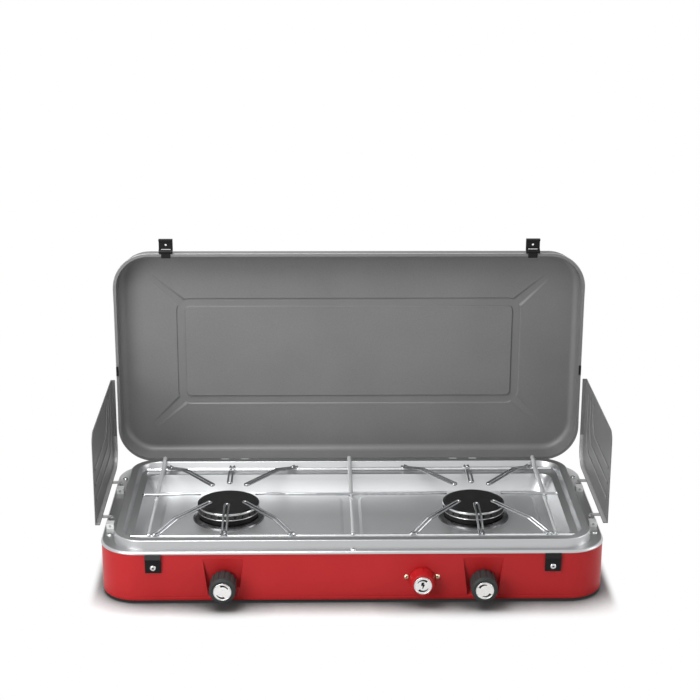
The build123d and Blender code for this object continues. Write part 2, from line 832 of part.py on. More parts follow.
def lid_latch():
    """Hook plate hanging from its pin, drawn latched and then swung clear by a quarter turn."""
    half = latch_w / 2
    face = latch_y - latch_face
    hook_z = nose_z - slide_gap
    plate = block(-half, half, face - latch_t, face, hook_z - latch_lip, latch_z - latch_barrel_r - slide_gap)
    plate += block(-half, half, face, nose_y + catch_hook, hook_z - latch_lip, hook_z)
    for side in (-1, 1):
        near, far = sorted((side * (half - latch_ear), side * half))
        plate += rod_x(latch_barrel_r, near, far, latch_y, latch_z)
        plate += block(near, far, face - latch_t, latch_y, latch_z - latch_barrel_r - 1, latch_z)
    plate -= rod_x(latch_pin_r + run_gap, -latch_w, latch_w, latch_y, latch_z)
    hole_z = (hook_z + latch_z - latch_barrel_r) / 2
    plate -= rod_y(latch_hole_r, face - 2 * latch_t, face + 1, 0, hole_z)
    free = Pos(0, latch_y, latch_z) * Rot(-90, 0, 0) * Pos(0, -latch_y, -latch_z) * plate
    return opened(free)


def catch():
    """Plastic catch on the case front: screw plate below, sloping nose above."""
    low = case_top - catch_h
    shelf = nose_z
    points = [(front, low), (front - catch_t, low), (front - catch_t, shelf), (nose_y, shelf),
              (nose_y, shelf + catch_nose_h), (front - catch_top_t, case_top), (front, case_top)]
    body = prism_x(points, -catch_w / 2, catch_w / 2)
    return body - rod_y(shank_r + run_gap, front - 2 * catch_t, front + 1, 0, foot_h + catch_screw_z)


def screen_clips():
    """Small spring clips on the lid's side rims, under the rim when it is shut."""
    clips = []
    for side in (-1, 1):
        x = side * (lid_w - clip_w) / 2
        clips.append(opened(Pos(x, clip_y, shut_z - clip_t / 2) * Box(clip_w, clip_len, clip_t)))
    return clips


def rounded_corner(y0, y1, z0, z1, corner):
    """Rectangle in (y, z) with the corner at its far end and foot rounded."""
    outline = Polyline((y0, z0), (y1 - corner, z0))
    bend = RadiusArc((y1 - corner, z0), (y1, z0 + corner), -corner)
    rest = Polyline((y1, z0 + corner), (y1, z1), (y0, z1), (y0, z0))
    return make_face(outline + bend + rest)


def wind_screen(side):
    """Folded sheet: flat panel, return flanges on its rear and bottom edges, pressed ribs inside them."""
    inner = screen_x - screen_flange
    skin = rounded_corner(screen_front, screen_rear, screen_low, screen_top, screen_corner)
    hollow = rounded_corner(screen_front - sheet, screen_rear - sheet, screen_low + sheet, screen_top + sheet,
                            screen_corner - sheet)
    shell = Pos(inner, 0, 0) * extrude(Plane.YZ * skin, screen_flange)
    shell -= Pos(inner - sheet, 0, 0) * extrude(Plane.YZ * hollow, screen_flange)
    nose = shell.edges().filter_by(Axis.X).group_by(Axis.Z)[-1].sort_by(Axis.Y)[0]
    shell = fillet(nose, screen_nose)
    for i in range(screen_ribs):
        shell += screen_rib(screen_rib_in + i * screen_rib_step, screen_rib_w, -screen_rib_h)
        shell -= screen_rib(screen_rib_in + i * screen_rib_step, screen_rib_w - 2 * screen_rib_h,
                            sheet - screen_rib_h)
    return shell if side > 0 else mirror(shell, Plane.YZ)


def screen_rib(inset, width, start):
    """L-shaped pressing that follows the rear and bottom edges of the panel."""
    skip = (screen_rib_w - width) / 2
    near = inset + skip
    end = screen_margin + skip
    outer = rounded_corner(screen_front + end, screen_rear - near, screen_low + near, screen_top - end,
                           screen_corner)
    far = near + width
    inner = rounded_corner(screen_front - 1, screen_rear - far, screen_low + far, screen_top + 1,
                           screen_corner - screen_rib_w / 2)
    band = Plane.YZ * (outer - inner)
    return Pos(screen_x - sheet + start, 0, 0) * extrude(band, sheet)


def screen_hooks(side):
    """Bent wires under the screen's bottom flange whose ends are its hinge pins."""
    hooks = []
    for y in (hook_rear_y, hook_front_y):
        tip = y - hook_run - block_d / 2
        route = FilletPolyline((side * (screen_x - sheet - hook_r), y, pin_z), (side * pin_x, y, pin_z),
                               (side * pin_x, tip, pin_z), radius=hook_bend)
        hooks.append(tube(route, hook_r))
    return hooks


def hinge_blocks():
    blocks = []
    for side in (-1, 1):
        for y in (hook_rear_y - hook_run, hook_front_y - hook_run):
            x = side * pin_x
            body = block(x - block_w / 2, x + block_w / 2, y - block_d / 2, y + block_d / 2, border_z,
                         border_z + block_h)
            blocks.append(body - rod_y(hook_r + run_gap, y - block_d, y + block_d, x, pin_z))
    return blocks


def save(name, shape):
    """Write one piece, or a group of like pieces, with the origin under the middle of the stove."""
    pieces = shape if isinstance(shape, list) else [shape]
    placed = [Pos(0, -middle_y, 0) * piece for piece in pieces]
    solids = [solid for piece in placed for solid in piece.solids()]
    export_step(solids[0] if len(solids) == 1 else Compound(children=solids), f"parts/{name}.step")


os.makedirs("parts", exist_ok=True)

save("case", case())
save("feet", feet())
save("drip_tray", drip_tray())
save("tray_screws", tray_screws())
save("front_cross_wire", cross_wire(-1))
save("rear_cross_wire", cross_wire(1))
save("support_bar_centre", support_bar())
save("manifold", manifold())
save("gas_inlet", gas_inlet())
save("igniter_body", igniter_body())
save("igniter_knob", igniter_knob())
save("igniter_disc", Pos(igniter_x, 0, spark_z) * disc(front - 2 * slide_gap - igniter_knob_len))
save("igniter_screws", front_screws([(igniter_x - igniter_screw_half, foot_h + igniter_screw_z),
                                     (igniter_x + igniter_screw_half, foot_h + igniter_screw_z)],
                                    front, sheet + igniter_tab_t))
save("spark_pins", [Pos(side * burner_x, 0, 0) * spark_pin() for side in (-1, 1)])
save("catch_screws", front_screws([(side * latch_x, foot_h + catch_screw_z) for side in (-1, 1)],
                                  front - catch_t, catch_t + sheet))
save("lid_shell", opened(lid_shell()))
save("hinge_bases", hinge_bases())
save("hinge_lid_leaves", hinge_lid_leaves())
save("hinge_pins", hinge_pins())
save("latch_brackets", latch_brackets())
save("latch_pins", latch_pins())
save("screen_clips", screen_clips())
save("hinge_blocks", hinge_blocks())

for word, side in (("left", -1), ("right", 1)):
    at_burner = Pos(side * burner_x, 0, 0)
    save(f"support_bar_{word}", Pos(side * bar_x, 0, 0) * support_bar())
    save(f"spokes_{word}", spokes(side))
    save(f"burner_collar_{word}", at_burner * burner_collar())
    save(f"burner_cup_{word}", at_burner * burner_cup())
    save(f"port_ring_{word}", at_burner * port_ring())
    save(f"burner_cap_{word}", at_burner * burner_cap())
    save(f"mixing_tube_{word}", at_burner * mixing_tube())
    save(f"jet_{word}", at_burner * jet())
    save(f"valve_{word}", at_burner * valve(side))
    save(f"valve_stem_{word}", at_burner * valve_stem())
    save(f"knob_{word}", at_burner * knob())
    save(f"knob_disc_{word}", Pos(side * burner_x, 0, axis_z) * disc(knob_front))
    save(f"electrode_{word}", at_burner * electrode())
    save(f"ignition_lead_{word}", ignition_lead(side))
    save(f"catch_{word}", Pos(side * latch_x, 0, 0) * catch())
    save(f"lid_latch_{word}", Pos(side * latch_x, 0, 0) * lid_latch())
    save(f"wind_screen_{word}", wind_screen(side))
    save(f"screen_hooks_{word}", screen_hooks(side))
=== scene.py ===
import json
import math
import bmesh
import bpy
from mathutils import Matrix, Vector


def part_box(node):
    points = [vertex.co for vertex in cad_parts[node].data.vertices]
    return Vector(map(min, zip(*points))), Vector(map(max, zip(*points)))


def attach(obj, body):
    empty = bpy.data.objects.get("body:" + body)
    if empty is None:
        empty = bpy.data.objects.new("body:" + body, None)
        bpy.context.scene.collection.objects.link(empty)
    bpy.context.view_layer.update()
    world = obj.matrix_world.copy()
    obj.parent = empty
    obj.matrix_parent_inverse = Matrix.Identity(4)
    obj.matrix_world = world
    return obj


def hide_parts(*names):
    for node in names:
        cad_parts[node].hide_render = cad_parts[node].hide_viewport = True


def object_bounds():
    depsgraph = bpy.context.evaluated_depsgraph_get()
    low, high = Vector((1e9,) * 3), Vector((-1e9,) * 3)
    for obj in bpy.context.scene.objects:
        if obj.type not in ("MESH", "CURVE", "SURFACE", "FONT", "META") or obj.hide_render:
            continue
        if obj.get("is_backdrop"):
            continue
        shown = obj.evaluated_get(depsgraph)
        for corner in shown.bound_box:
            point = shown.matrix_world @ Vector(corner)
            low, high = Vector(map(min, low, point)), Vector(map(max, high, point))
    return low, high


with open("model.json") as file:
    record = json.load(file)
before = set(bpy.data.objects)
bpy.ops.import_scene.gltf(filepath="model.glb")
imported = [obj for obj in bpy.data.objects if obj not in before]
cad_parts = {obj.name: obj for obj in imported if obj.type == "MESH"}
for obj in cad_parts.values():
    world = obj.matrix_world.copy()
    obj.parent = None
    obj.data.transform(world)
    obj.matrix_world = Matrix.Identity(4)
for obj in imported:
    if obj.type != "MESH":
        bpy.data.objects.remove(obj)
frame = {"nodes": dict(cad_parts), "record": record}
cadLow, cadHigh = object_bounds()
nodes = frame["nodes"]
print("frame loaded:", len(nodes), "nodes")


def hexLinear(code):
    shares = [int(code[i:i + 2], 16) / 255 for i in (1, 3, 5)]
    return tuple(s / 12.92 if s <= 0.04045 else ((s + 0.055) / 1.055) ** 2.4 for s in shares) + (1.0,)


def perMetre(size):
    return 1000.0 / size  # texture scale for a grain of this many millimetres


def addNode(tree, kind, links=None, values=None, **settings):
    node = tree.nodes.new(kind)
    for name, value in settings.items():
        setattr(node, name, value)
    for key, value in (values or {}).items():
        node.inputs[key].default_value = value
    for key, source in (links or {}).items():
        for one in source if isinstance(source, list) else [source]:
            tree.links.new(getattr(one, "outputs", [one])[0], node.inputs[key])
    return node


def newMaterial(name):
    material = bpy.data.materials.new(name)
    material.use_nodes = True
    material.node_tree.nodes.clear()
    coords = material.node_tree.nodes.new("ShaderNodeTexCoord").outputs["Object"]
    return material, material.node_tree, coords


# powder-coated steel: sprayed and baked, so an even satin red with fine orange peel
redCoat = {"dark": "#B72427", "light": "#C62C2F", "cloud": 55.0, "cloudDetail": 3.0,
           "peel": 1.1, "peelDetail": 2.0, "peelDepth": 0.00005, "peelStrength": 0.35,
           "smooth": 0.34, "rough": 0.52, "ior": 1.5, "shine": 0.2}


def redPowderCoat():
    material, tree, coords = newMaterial("redPowderCoat")
    cloud = addNode(tree, "ShaderNodeTexNoise", {"Vector": coords},
                    {"Scale": perMetre(redCoat["cloud"]), "Detail": redCoat["cloudDetail"]})
    peel = addNode(tree, "ShaderNodeTexNoise", {"Vector": coords},  # real peel is finer than a pixel
                   {"Scale": perMetre(redCoat["peel"]), "Detail": redCoat["peelDetail"]})
    colour = addNode(tree, "ShaderNodeMix", {0: cloud},
                     {6: hexLinear(redCoat["dark"]), 7: hexLinear(redCoat["light"])}, data_type="RGBA")
    rough = addNode(tree, "ShaderNodeMapRange", {"Value": peel},
                    {"To Min": redCoat["smooth"], "To Max": redCoat["rough"]})
    bump = addNode(tree, "ShaderNodeBump", {"Height": peel},
                   {"Strength": redCoat["peelStrength"], "Distance": redCoat["peelDepth"]})
    shader = addNode(tree, "ShaderNodeBsdfPrincipled",
                     {"Base Color": colour.outputs[2], "Roughness": rough, "Normal": bump},
                     {"IOR": redCoat["ior"], "Specular IOR Level": redCoat["shine"]})
    addNode(tree, "ShaderNodeOutputMaterial", {"Surface": shader})
    return material


# metallic stoving paint on steel: satin grey, with a fleck that shows as a fine speckle
greyPaint = {"dark": "#656565", "light": "#868686", "fleck": 0.9, "cloud": 70.0, "detail": 2.0,
             "cloudShare": 0.3, "fleckDepth": 0.00004, "fleckStrength": 0.3,
             "smooth": 0.36, "rough": 0.54, "metal": 0.1, "ior": 1.5, "shine": 0.3}


def speckledGreyPaint():
    material, tree, coords = newMaterial("speckledGreyPaint")
    fleck = addNode(tree, "ShaderNodeTexNoise", {"Vector": coords},  # drawn coarser than the real fleck
                    {"Scale": perMetre(greyPaint["fleck"]), "Detail": greyPaint["detail"]})
    cloud = addNode(tree, "ShaderNodeTexNoise", {"Vector": coords},
                    {"Scale": perMetre(greyPaint["cloud"]), "Detail": greyPaint["detail"]})
    blend = addNode(tree, "ShaderNodeMix", {2: fleck, 3: cloud}, {0: greyPaint["cloudShare"]})
    colour = addNode(tree, "ShaderNodeMix", {0: blend},
                     {6: hexLinear(greyPaint["dark"]), 7: hexLinear(greyPaint["light"])}, data_type="RGBA")
    rough = addNode(tree, "ShaderNodeMapRange", {"Value": fleck},
                    {"To Min": greyPaint["smooth"], "To Max": greyPaint["rough"]})
    bump = addNode(tree, "ShaderNodeBump", {"Height": fleck},
                   {"Strength": greyPaint["fleckStrength"], "Distance": greyPaint["fleckDepth"]})
    shader = addNode(tree, "ShaderNodeBsdfPrincipled",
                     {"Base Color": colour.outputs[2], "Roughness": rough, "Normal": bump},
                     {"Metallic": greyPaint["metal"], "IOR": greyPaint["ior"],
                      "Specular IOR Level": greyPaint["shine"]})
    addNode(tree, "ShaderNodeOutputMaterial", {"Surface": shader})
    return material


# stainless sheet: rolled and brushed along its length, so fine streaks and a soft gloss,
# duller on the deep floor of the pressing, and paler there as painted sheen for the light the floor reflects
stainless = {"dark": "#B1B2B3", "light": "#C3C4C5", "floor": "#D2D3D4",
             "line": 0.35, "run": 30.0, "detail": 3.0, "lineDepth": 0.00001, "lineStrength": 0.15,
             "smooth": 0.3, "rough": 0.4, "floorZ": 0.058, "wallZ": 0.072, "dull": 0.1, "paintedSheenShare": 0.9}


def brushedStainless():
    material, tree, coords = newMaterial("brushedStainless")
    along = addNode(tree, "ShaderNodeMapping", {"Vector": coords},
                    {"Scale": (stainless["line"] / stainless["run"], 1.0, 1.0)})
    lines = addNode(tree, "ShaderNodeTexNoise", {"Vector": along},  # real brushing is finer still
                    {"Scale": perMetre(stainless["line"]), "Detail": stainless["detail"]})
    brushed = addNode(tree, "ShaderNodeMix", {0: lines},
                      {6: hexLinear(stainless["dark"]), 7: hexLinear(stainless["light"])}, data_type="RGBA")
    height = addNode(tree, "ShaderNodeSeparateXYZ", {0: coords}).outputs[2]
    # painted sheen: the floor colour is mixed in low down, so the deep floor reads paler, standing in for
    # the brighter light it reflects
    levels = {"From Min": stainless["floorZ"], "From Max": stainless["wallZ"], "To Max": 0.0}
    dull = addNode(tree, "ShaderNodeMapRange", {"Value": height}, {**levels, "To Min": stainless["dull"]})
    paintedSheenShare = addNode(tree, "ShaderNodeMapRange", {"Value": height}, {**levels, "To Min": stainless["paintedSheenShare"]})
    colour = addNode(tree, "ShaderNodeMix", {0: paintedSheenShare, 6: brushed.outputs[2]},
                     {7: hexLinear(stainless["floor"])}, data_type="RGBA")
    rough = addNode(tree, "ShaderNodeMapRange", {"Value": lines},
                    {"To Min": stainless["smooth"], "To Max": stainless["rough"]})
    rough = addNode(tree, "ShaderNodeMath", {0: rough, 1: dull}, operation="ADD")
    bump = addNode(tree, "ShaderNodeBump", {"Height": lines},
                   {"Strength": stainless["lineStrength"], "Distance": stainless["lineDepth"]})
    shader = addNode(tree, "ShaderNodeBsdfPrincipled",
                     {"Base Color": colour.outputs[2], "Roughness": rough, "Normal": bump},
                     {"Metallic": 1.0})
    addNode(tree, "ShaderNodeOutputMaterial", {"Surface": shader})
    return material


# the plainer finishes: two colours, grain in mm, roughness range, bump depth in m, and how far it is metal
# each note says how the surface was made and what that gives the eye
plainFinishes = {
    "paintedShadeWire": ("#9C9EA1", "#C4C6C8", 6.0, 0.05, 0.14, 0.00001, 1.0),      # nickel plate on drawn wire, darkened as painted shade
    "paintedHighlightWire": ("#D2D4D6", "#F0F1F2", 6.0, 0.10, 0.20, 0.00001, 0.75),     # the same plate as painted highlight, nearly white
    "satinBar": ("#C4C5C6", "#DCDDDE", 3.0, 0.34, 0.46, 0.00001, 0.35),       # plated bar, left unpolished
    "platedSteel": ("#B9BBBC", "#E2E2E2", 2.0, 0.08, 0.20, 0.00001, 1.0),     # bright plate, heads and rings
    "zincSteel": ("#8F908E", "#B6B6B2", 2.5, 0.28, 0.46, 0.00002, 1.0),       # zinc plate, faintly spangled
    "blackEnamel": ("#0C0C0C", "#1C1C1B", 1.6, 0.34, 0.62, 0.00008, 0.0),     # enamelled iron, finely pitted
    "burntIron": ("#000000", "#4C4C4A", 2.4, 0.30, 0.60, 0.0002, 0.0),        # cast iron, mottled by flame
    "paintedShadeSteel": ("#4A4A4B", "#79797B", 5.0, 0.16, 0.32, 0.00002, 1.0),     # pressed steel, darkened as painted shade
    "brightZinc": ("#DCDDDD", "#F4F4F3", 2.0, 0.22, 0.40, 0.00001, 0.4),      # zinc castings, pale and even
    "paintedCrestHighlight": ("#7C7C7C", "#9A9A9A", 3.0, 0.32, 0.48, 0.00002, 0.1),     # painted highlight, lighter grey on crests
    "pressedSteel": ("#8A8B8C", "#B4B5B6", 4.0, 0.14, 0.30, 0.00002, 1.0),    # drawn steel, a bright sheen
    "turnedBrass": ("#A67B3A", "#D2A95C", 1.8, 0.18, 0.36, 0.00002, 1.0),     # turned brass, soft gold sheen
    "drawnTube": ("#8E9092", "#B4B5B6", 3.0, 0.26, 0.42, 0.00001, 1.0),       # drawn aluminium, soft sheen
    "blackPlastic": ("#080808", "#121212", 1.1, 0.40, 0.60, 0.00004, 0.0),    # moulded, fine grain, dull
    "knobPlastic": ("#2C2E2E", "#3B3E3E", 1.2, 0.42, 0.62, 0.00004, 0.0),     # moulded thermoset, dull grey
    "redPlastic": ("#A4191D", "#B82024", 1.6, 0.28, 0.44, 0.00003, 0.0),      # moulded, a glossy red
    "discMetal": ("#E4E4E2", "#F8F8F6", 1.4, 0.22, 0.40, 0.00001, 0.25),      # lacquered aluminium, milky
    "paintedHighlightGrey": ("#9C9C9C", "#C4C4C4", 3.0, 0.30, 0.44, 0.00002, 0.2),   # painted highlight, pale grey on edges
    "yellowZinc": ("#D2C4A2", "#F2EAD4", 1.4, 0.20, 0.36, 0.00001, 1.0),      # zinc, passivated pale yellow
    "printInk": ("#070707", "#121212", 0.8, 0.34, 0.48, 0.00001, 0.0),        # screen-printed, flat black
    "footRubber": ("#121212", "#1E1E1E", 1.2, 0.62, 0.85, 0.00006, 0.0),      # moulded rubber, matt
    "glazedCeramic": ("#D8D5CC", "#F0EEE7", 3.0, 0.12, 0.24, 0.00002, 0.0),   # glazed porcelain, wet gloss
    "siliconeSleeve": ("#1B1B1B", "#2B2B2B", 1.4, 0.48, 0.68, 0.00003, 0.0),  # extruded sleeve, dull black
}
plainLook = {"detail": 3.0, "strength": 0.3, "metalShine": 0.5, "dullShine": 0.2}


def plainFinish(name):
    dark, light, grain, smooth, rough, depth, metal = plainFinishes[name]
    material, tree, coords = newMaterial(name)
    noise = addNode(tree, "ShaderNodeTexNoise", {"Vector": coords},
                    {"Scale": perMetre(grain), "Detail": plainLook["detail"]})
    colour = addNode(tree, "ShaderNodeMix", {0: noise}, {6: hexLinear(dark), 7: hexLinear(light)},
                     data_type="RGBA")
    gloss = addNode(tree, "ShaderNodeMapRange", {"Value": noise}, {"To Min": smooth, "To Max": rough})
    bump = addNode(tree, "ShaderNodeBump", {"Height": noise},
                   {"Strength": plainLook["strength"], "Distance": depth})
    shine = plainLook["metalShine"] if metal else plainLook["dullShine"]
    shader = addNode(tree, "ShaderNodeBsdfPrincipled",
                     {"Base Color": colour.outputs[2], "Roughness": gloss, "Normal": bump},
                     {"Metallic": metal, "Specular IOR Level": shine})
    addNode(tree, "ShaderNodeOutputMaterial", {"Surface": shader})
    return material


materials = {name: plainFinish(name) for name in plainFinishes}
materials["redPowderCoat"] = redPowderCoat()
materials["speckledGreyPaint"] = speckledGreyPaint()
materials["brushedStainless"] = brushedStainless()

# the record's material slot of each node decides its finish, unless the second list names the node
finishOfSlot = {
    "red_paint": "redPowderCoat", "grey_paint": "speckledGreyPaint", "stainless": "brushedStainless",
    "chrome_wire": "paintedShadeWire", "zinc_steel": "zincSteel", "burner_black": "blackEnamel",
    "burner_steel": "pressedSteel", "brass": "turnedBrass", "pipe": "drawnTube",
    "black_plastic": "blackPlastic", "knob_grey": "knobPlastic", "red_plastic": "redPlastic",
    "disc": "discMetal", "rubber": "footRubber", "ceramic": "glazedCeramic", "insulation": "siliconeSleeve",
}
finishOfNode = {
    "support_bar_left": "satinBar", "support_bar_centre": "satinBar", "support_bar_right": "satinBar",
    # painted light: the cross wires take the painted highlight copy of the wire plate, the spokes and welds
    # the painted shade copy
    "front_cross_wire": "paintedHighlightWire", "rear_cross_wire": "paintedHighlightWire", "hinge_blocks": "brightZinc",
    # painted highlight: the screens' hooks take a pale grey for the light they catch
    "screen_hooks_left": "paintedHighlightGrey", "screen_hooks_right": "paintedHighlightGrey",
    "port_ring_left": "burntIron", "port_ring_right": "burntIron",
    # painted shade: the burner collars are darkened to stand in for shade and dark reflections
    "burner_collar_left": "paintedShadeSteel", "burner_collar_right": "paintedShadeSteel",
}
for part in frame["record"]["subparts"]:
    mesh = nodes[part["node"]].data
    mesh.materials.clear()
    mesh.materials.append(materials[finishOfNode.get(part["node"], finishOfSlot[part["material_slot"]])])
print("materials:", len(materials), "finishes on the nodes")

# steps in the mesh of each small shape, and the angle past which an edge stays crisp
fineness = {"bead": 4, "dome": 32, "domeRings": 16, "shank": 20, "ring": 96, "ringSection": 14,
            "bend": 16, "rodSection": 20, "arc": 28}
sharpEdge = math.radians(40)
upward, forward = (0.0, 0.0, 1.0), (0.0, -1.0, 0.0)

# places are in mm, from the middle of the case and up from the ground
burnerX = 172.0
discSpots = {"left": (-172, -185.3, 30), "right": (172, -185.3, 30), "spark": (91, -177.9, 34)}
caseLow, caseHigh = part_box("case")
caseMiddle = (caseLow[1] + caseHigh[1]) / 2


def fromCase(x, y, z):
    return Vector((x / 1000, y / 1000 + caseMiddle, z / 1000))


def newNodeTree(name, sizes):
    tree = bpy.data.node_groups.new(name, "GeometryNodeTree")
    tree.interface.new_socket("Geometry", in_out="INPUT", socket_type="NodeSocketGeometry")
    tree.interface.new_socket("Geometry", in_out="OUTPUT", socket_type="NodeSocketGeometry")
    for label, value in sizes.items():
        kind = "NodeSocketInt" if isinstance(value, int) else "NodeSocketFloat"
        tree.interface.new_socket(label, in_out="INPUT", socket_type=kind)
    return tree, addNode(tree, "NodeGroupInput").outputs


def finishTree(tree, shape, finish):
    real = addNode(tree, "GeometryNodeRealizeInstances", {0: shape})
    smooth = addNode(tree, "GeometryNodeSetShadeSmooth", {0: real})
    bend = addNode(tree, "GeometryNodeInputMeshEdgeAngle")
    gentle = addNode(tree, "FunctionNodeCompare", {0: bend}, {1: sharpEdge}, operation="LESS_THAN")
    edged = addNode(tree, "GeometryNodeSetShadeSmooth", {0: smooth, "Shade Smooth": gentle}, domain="EDGE")
    painted = addNode(tree, "GeometryNodeSetMaterial", {0: edged}, {"Material": materials[finish]})
    addNode(tree, "NodeGroupOutput", {0: painted})


def flatSection(tree, size, steps):
    circle = addNode(tree, "GeometryNodeCurvePrimitiveCircle", None, {"Radius": 1.0, "Resolution": steps})
    flatten = addNode(tree, "ShaderNodeCombineXYZ", {0: size["Half width"], 1: size["Half height"]},
                      {2: 1.0})
    return addNode(tree, "GeometryNodeTransform", {"Geometry": circle, "Scale": flatten})


def placeShape(tree, size, shape, finish, **placing):
    aim = addNode(tree, "GeometryNodeInputNamedAttribute", None, {"Name": "aim"}, data_type="FLOAT_VECTOR")
    turn = addNode(tree, "FunctionNodeAlignRotationToVector", {"Vector": aim}, axis="Z")
    spin = addNode(tree, "FunctionNodeRandomValue", {"Seed": size["Seed"]}, {2: 0.0, 3: math.pi})
    twist = addNode(tree, "FunctionNodeAxisAngleToRotation", {"Angle": spin.outputs[1]}, {"Axis": upward})
    turn = addNode(tree, "FunctionNodeRotateRotation", {0: turn, 1: twist}, rotation_space="LOCAL")
    placed = addNode(tree, "GeometryNodeInstanceOnPoints",
                     {"Points": size["Geometry"], "Instance": shape, "Rotation": turn, **placing})
    finishTree(tree, placed, finish)


def bakeTree(name, tree, sizes, points, edges, aim, body, stoodFor=()):
    mesh = bpy.data.meshes.new(name)
    mesh.from_pydata(points, edges, [])
    for row in mesh.attributes.new("aim", "FLOAT_VECTOR", "POINT").data:
        row.vector = aim
    piece = bpy.data.objects.new(name, mesh)
    bpy.context.scene.collection.objects.link(piece)
    modifier = piece.modifiers.new(tree.name, "NODES")
    modifier.node_group = tree
    for socket in tree.interface.items_tree:
        if socket.in_out == "INPUT" and socket.name in sizes:
            modifier[socket.identifier] = sizes[socket.name]
    baked = bpy.data.meshes.new_from_object(piece.evaluated_get(bpy.context.evaluated_depsgraph_get()))
    piece.modifiers.remove(modifier)
    piece.data = baked
    baked.name = name
    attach(piece, body)
    if stoodFor:
        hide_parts(*stoodFor)


# resistance welds where the support wires cross: small uneven beads of squeezed-out metal
weldBead = {"Bead radius": 0.0029, "Lump": 0.0012, "Seed": 7}
weldPlan = {"burners": (-burnerX, burnerX), "splay": (-93.0, 0.0, 93.0), "pull": 0.976, "pair": 2.3,
            "crossY": 120.0, "spokeZ": 83.0, "bars": (-272.0, 0.0, 272.0), "barZ": 83.2,
            "sideY": 0.0, "sideZ": 89.0, "tips": (-289.0, 289.0), "tipZ": 90.6}
weldLumps = {"grain": 3.0, "detail": 1.0, "middle": 0.5, "least": (0.85, 0.85, 0.7), "most": (1.2, 1.2, 1.0)}


def weldPlaces():
    places = []
    for end in (-weldPlan["crossY"], weldPlan["crossY"]):
        for burner in weldPlan["burners"]:
            for splay in weldPlan["splay"]:
                for side in (-weldPlan["pair"], weldPlan["pair"]):
                    places.append((burner + splay * weldPlan["pull"] + side, end, weldPlan["spokeZ"]))
        places += [(bar, end, weldPlan["barZ"]) for bar in weldPlan["bars"]]
    places += [(bar, weldPlan["sideY"], weldPlan["sideZ"]) for bar in weldPlan["bars"]]
    places += [(tip, weldPlan["sideY"], weldPlan["tipZ"]) for tip in weldPlan["tips"]]
    return [fromCase(*place) for place in places]


tree, size = newNodeTree("weldBeadTree", weldBead)
ball = addNode(tree, "GeometryNodeMeshIcoSphere", {"Radius": size["Bead radius"]},
               {"Subdivisions": fineness["bead"]})
lump = addNode(tree, "ShaderNodeTexNoise", None,
               {"Scale": perMetre(weldLumps["grain"]), "Detail": weldLumps["detail"]})
lump = addNode(tree, "ShaderNodeMath", {0: lump}, {1: weldLumps["middle"]}, operation="SUBTRACT")
lump = addNode(tree, "ShaderNodeMath", {0: lump, 1: size["Lump"]}, operation="MULTIPLY")
outward = addNode(tree, "GeometryNodeInputNormal")
shift = addNode(tree, "ShaderNodeVectorMath", {0: outward, "Scale": lump}, operation="SCALE")
ball = addNode(tree, "GeometryNodeSetPosition", {"Geometry": ball, "Offset": shift})
swell = addNode(tree, "FunctionNodeRandomValue", {"Seed": size["Seed"]},
                {0: weldLumps["least"], 1: weldLumps["most"]}, data_type="FLOAT_VECTOR")
placeShape(tree, size, ball, "paintedShadeWire", Scale=swell)
bakeTree("supportWelds", tree, weldBead, weldPlaces(), [], upward, "base")
print("welds on the wire supports")

# round-head screws with a cross recess, in place of the plain heads
screwShape = {"Head radius": 0.0039, "Head height": 0.0021, "Slot length": 0.0040, "Slot width": 0.0012,
              "Slot depth": 0.0012, "Shank radius": 0.0014, "Shank length": 0.0055, "Seed": 3}
screwSets = {
    "trayScrews": {"node": "tray_screws", "finish": "platedSteel", "slot": "zinc_steel", "aim": upward,
                   "sizes": {}, "places": [(x, y, 74.5) for x in (-327, 327) for y in (-100, 100)]
                   + [(0, -151.8, 74.5), (0, 151.8, 74.5)]},
    "igniterScrews": {"node": "igniter_screws", "finish": "yellowZinc", "slot": "brass", "aim": forward,
                      "sizes": {"Head radius": 0.0036, "Slot length": 0.0034, "Slot width": 0.0022,
                                "Slot depth": 0.0019, "Shank length": 0.003},
                      "places": [(70.5, -157, 37.5), (111.5, -157, 37.5)]},
    "catchScrews": {"node": "catch_screws", "finish": "platedSteel", "slot": "zinc_steel", "aim": forward,
                    "sizes": {"Head radius": 0.0042, "Slot length": 0.0036, "Slot width": 0.002,
                              "Shank length": 0.004},
                    "places": [(-264, -160, 53), (264, -160, 53)]},
}
blockSide = 3.0  # the block that cuts the dome's lower half away, in head radii


